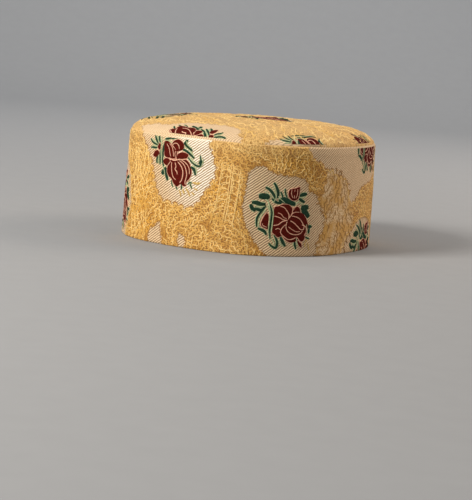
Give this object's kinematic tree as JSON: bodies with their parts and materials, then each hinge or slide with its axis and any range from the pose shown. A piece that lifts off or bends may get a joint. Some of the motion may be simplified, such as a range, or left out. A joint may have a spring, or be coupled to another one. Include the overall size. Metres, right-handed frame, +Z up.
{
  "type": "fez",
  "caption": "Low pillbox fez of stiffened floral brocade: an oval side band with a softly domed crown panel sewn on its top edge, open below for the head.",
  "frame": {"origin": "middle of the oval rim, on the surface that the cap stands on", "axes": "+Z up through the crown, -Y towards the front of the cap, +X towards the wearer's left"},
  "size_m": [0.1704, 0.1974, 0.0904],
  "materials": {
    "brocade": "golden figured satin with cream twill fields and woven dark red roses, stiffened"
  },
  "bodies": {
    "root": {"side_band": "brocade", "crown_panel": "brocade"}
  },
  "joints": []
}
